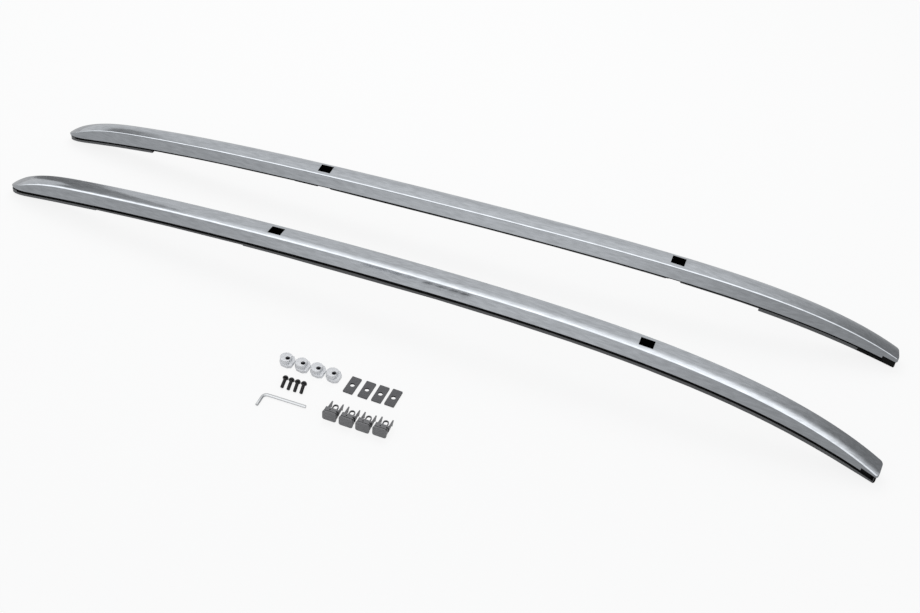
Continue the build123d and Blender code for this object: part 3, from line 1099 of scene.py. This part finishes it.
def cad_copy(node):
    """Merged copy of a CAD node with its flat faces joined."""
    bm = bmesh.new()
    bm.from_mesh(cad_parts[node].data)
    bmesh.ops.remove_doubles(bm, verts=bm.verts, dist=copy_join)
    bmesh.ops.dissolve_limit(
        bm, angle_limit=math.radians(1), use_dissolve_boundaries=False,
        verts=bm.verts, edges=bm.edges, delimit=set(),
    )
    return bm


def is_in_gap(place, normal):
    """True for what stands above the strips, between them and the rail or inside it: the faces that
    get painted shade.
    """
    along = place.x / MM - rear_tip - sizes().length / 2
    under_rail = bottom_line(along) - place.z / MM
    if under_rail < gap_height - gap_margin:
        return True
    return under_rail < gap_height + gap_floor_reach and normal.z > 0.7


def cover_mesh(node):
    """Copy of a cover with soft edges, a painted shadow line behind its lid, painted shade in its
    hollow and dark blocks of painted shade in its pin holes.
    """
    bm = cad_copy(node)
    front = min(v.co.y for v in bm.verts)
    for depth in (lid_thickness - 0.05, lid_thickness + lid_groove):
        bmesh.ops.bisect_plane(
            bm, geom=bm.verts[:] + bm.edges[:] + bm.faces[:],
            plane_co=(0, front + depth * MM, 0), plane_no=(0, 1, 0), dist=copy_join,
        )
    # Faces in the band behind the lid get the painted shadow line
    for face in bm.faces:
        middle = (face.calc_center_median().y - front) / MM
        in_shadow_line = lid_thickness < middle < lid_thickness + lid_groove
        face.material_index = int(in_shadow_line and abs(face.normal.y) < 0.5)
    bevelled(bm, cover_edge * MM, 2, 30)
    bm.normal_update()
    # Faces that look at other faces inside the cover get painted shade
    dark = inner_faces(bm, cover_hollow_reach * MM)
    low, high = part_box(node)
    known = set(bm.faces)
    # Dark blocks of painted shade stand in the pin holes, so that no light shows through them
    for x, y in pin_hole_places:
        middle = Vector(((low.x + high.x) / 2 + x * MM, low.y + y * MM, pin_hole_floor * MM))
        place = Matrix.LocRotScale(middle, None, Vector(pin_hole_shade_block) * MM)
        bmesh.ops.create_cube(bm, size=1, matrix=place)
    dark += set(bm.faces) - known
    for face in dark:
        face.material_index = 1
    return bm


class MakeCovers(bpy.types.Operator):
    """Mould the window covers"""

    bl_idname = "side_rails.make_covers"
    bl_label = "Make window covers"

    def execute(self, context):
        plastics = [finish("cover_plastic_grained"), finish("cover_inside")]
        for i in range(context.scene.kit_sizes.count):
            node = f"window_cover_{i + 1}"
            new_object(f"cover_{i + 1}", cover_mesh(node), plastics, "cover_plastic", [node])
        return {"FINISHED"}


def camera_axes(stage):
    """Place and turned axes of the camera."""
    turn, rise, roll = stage.camera_azimuth, stage.camera_elevation, stage.camera_roll
    back = Vector((math.sin(turn) * math.cos(rise), -math.cos(turn) * math.cos(rise), math.sin(rise)))
    right = (-back).cross(Vector((0, 0, 1))).normalized()
    up = right.cross(-back)
    turned_right = right * math.cos(roll) + up * math.sin(roll)
    turned_up = up * math.cos(roll) - right * math.sin(roll)
    return back, turned_right, turned_up


def soft_lamp():
    """Soft rectangular lamp of an even radiance, which gloss doesn't show."""
    lamp = bpy.data.lights.new("soft_key", "AREA")
    lamp.shape = "RECTANGLE"
    lamp.size, lamp.size_y = lamp_size
    lamp.energy = lamp_radiance * math.pi * lamp_size[0] * lamp_size[1]
    holder = bpy.data.objects.new("soft_key", lamp)
    holder.location = lamp_place
    way = Vector(lamp_target) - Vector(lamp_place)
    holder.rotation_euler = way.to_track_quat("-Z", "Y").to_euler()
    holder.visible_glossy = False
    bpy.context.scene.collection.objects.link(holder)


def floor_material():
    """Floor finish: lit and shadowed, mostly white to the camera, with tones of its own for gloss."""
    material, bench, shader = new_material("pale_floor")
    bench.put(shader, Base_Color=floor_colour, Roughness=0.9, Specular_IOR_Level=0.0)
    path = bench.add("ShaderNodeLightPath").outputs
    place = bench.add("ShaderNodeTexCoord").outputs["Object"]
    along = bench.add("ShaderNodeSeparateXYZ", place).outputs["X"]
    share = bench.add("ShaderNodeMapRange", along, *floor_span).outputs["Result"]
    tones = bench.add("ShaderNodeValToRGB", share)
    stops = tones.color_ramp.elements
    stops[0].position, stops[1].position = floor_tones[0][0], floor_tones[-1][0]
    for position, _ in floor_tones[1:-1]:
        stops.new(position)
    for stop, (_, tone) in zip(stops, floor_tones):
        stop.color = (tone, tone, tone, 1)
    white = bench.add("ShaderNodeEmission").outputs[0]
    sheen = bench.add("ShaderNodeEmission", tones.outputs["Color"]).outputs[0]
    white_share = bench.sum("MULTIPLY", path["Is Camera Ray"], floor_white_share)
    seen = bench.mixed(white_share, shader.outputs[0], white)
    bench.end(bench.mixed(path["Is Glossy Ray"], seen, sheen))
    return material


def studio_world():
    """Pale surroundings: plain to the camera, even for soft finishes, with panels for gloss."""
    world = bpy.data.worlds.new("studio")
    bpy.context.scene.world = world
    bench = Bench(world, "ShaderNodeOutputWorld")
    path = bench.add("ShaderNodeLightPath").outputs
    way = bench.add("ShaderNodeTexCoord").outputs["Generated"]
    x, y, z = bench.add("ShaderNodeSeparateXYZ", way).outputs
    overhead = bench.product(
        bench.step(bench.sum("ARCTAN2", y, z), overhead_lean),
        bench.step(x, overhead_level),
        bench.step(x, overhead_rear_edge),
        bench.step(x, overhead_front_edge),
        bench.step(z, overhead_low_edge),
    )
    front_panel = bench.product(
        bench.step(y, front_panel_level), bench.step(z, front_panel_low_edge),
    )
    highest = bench.sum("MAXIMUM", overhead, front_panel)
    level = bench.sum("ADD", bench.step(x, right_fall), highest)
    panels = bench.add("ShaderNodeBackground", Strength=level).outputs[0]
    even = bench.add("ShaderNodeBackground", even_colour).outputs[0]
    behind = bench.add("ShaderNodeBackground").outputs[0]
    lit = bench.mixed(path["Is Glossy Ray"], even, panels)
    bench.end(bench.mixed(path["Is Camera Ray"], lit, behind))


def dark_card():
    """Dark card beyond the rear ends, seen only in gloss, with its lower near corner cut away."""
    material = bpy.data.materials.new("dark_card")
    bench = Bench(material, "ShaderNodeOutputMaterial")
    place = bench.add("ShaderNodeTexCoord").outputs["Object"]
    height = bench.add("ShaderNodeSeparateXYZ", place).outputs["Z"]
    tone = bench.add("ShaderNodeMapRange", height, *card_tones).outputs["Result"]
    bench.end(bench.add("ShaderNodeEmission", Strength=tone).outputs[0])
    bm = bmesh.new()
    verts = [bm.verts.new((rear_tip * MM - card_distance, y, z)) for y, z in card_outline]
    edges = [bm.edges.new(pair) for pair in zip(verts, verts[1:] + verts[:1])]
    bmesh.ops.triangle_fill(bm, use_beauty=True, use_dissolve=False, edges=edges)
    card = new_object("dark_card", bm, [material])
    card.visible_camera = card.visible_diffuse = False
    card.visible_shadow = card.visible_transmission = False


class SetStage(bpy.types.Operator):
    """Set the floor, the light and the camera"""

    bl_idname = "side_rails.set_stage"
    bl_label = "Set stage"

    def execute(self, context):
        stage = context.scene.stage_settings
        bm = bmesh.new()
        bmesh.ops.create_grid(bm, x_segments=1, y_segments=1, size=stage.floor_size / 2)
        floor = new_object("floor", bm, [floor_material()])
        studio_world()
        dark_card()
        soft_lamp()
        end = sizes().length / 2
        target = Vector((look_at[0] + end + rear_tip, look_at[1] + mirror_y, 0)) * MM
        back, right, up = camera_axes(stage)
        lens = bpy.data.cameras.new("camera")
        lens.sensor_fit = "HORIZONTAL"
        lens.sensor_width = sensor_width
        lens.lens = stage.focal_pixels * sensor_width / picture_width
        lens.clip_start, lens.clip_end = 0.05, 50.0
        camera = bpy.data.objects.new("camera", lens)
        turned = Matrix((right, up, back)).transposed().to_4x4()
        camera.matrix_world = Matrix.Translation(target + back * stage.camera_distance) @ turned
        context.scene.collection.objects.link(camera)
        context.scene.camera = camera
        context.scene.view_settings.view_transform = "Standard"
        return {"FINISHED"}


class SideRailPanel(bpy.types.Panel):
    """The steps and sizes, in the sidebar"""

    bl_idname = "VIEW3D_PT_side_rails"
    bl_label = "Side Rails"
    bl_space_type = "VIEW_3D"
    bl_region_type = "UI"
    bl_category = "Side Rails"

    def draw(self, context):
        scene = context.scene
        for group in (scene.rail_sizes, scene.kit_sizes, scene.finishes, scene.stage_settings):
            for name in group.__annotations__:
                self.layout.prop(group, name)
        for step in steps:
            self.layout.operator(step.bl_idname)


steps = (MakeRails, MakeMouldings, MakeNuts, MakePads, MakeScrews, MakeKey, MakeCovers, SetStage)
groups = (RailSizes, KitSizes, Finishes, StageSettings)


def register():
    for item in (*groups, *steps, SideRailPanel):
        bpy.utils.register_class(item)
    bpy.types.Scene.rail_sizes = PointerProperty(type=RailSizes)
    bpy.types.Scene.kit_sizes = PointerProperty(type=KitSizes)
    bpy.types.Scene.finishes = PointerProperty(type=Finishes)
    bpy.types.Scene.stage_settings = PointerProperty(type=StageSettings)


def unregister():
    for name in ("rail_sizes", "kit_sizes", "finishes", "stage_settings"):
        delattr(bpy.types.Scene, name)
    for item in reversed((*groups, *steps, SideRailPanel)):
        bpy.utils.unregister_class(item)


def main():
    """Make every piece and the stage."""
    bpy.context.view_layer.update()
    register()
    bpy.ops.side_rails.make_rails()
    bpy.ops.side_rails.make_mouldings()
    bpy.ops.side_rails.make_nuts()
    bpy.ops.side_rails.make_pads()
    bpy.ops.side_rails.make_screws()
    bpy.ops.side_rails.make_key()
    bpy.ops.side_rails.make_covers()
    bpy.ops.side_rails.set_stage()
    bpy.context.view_layer.update()


if __name__ == "__main__":
    main()
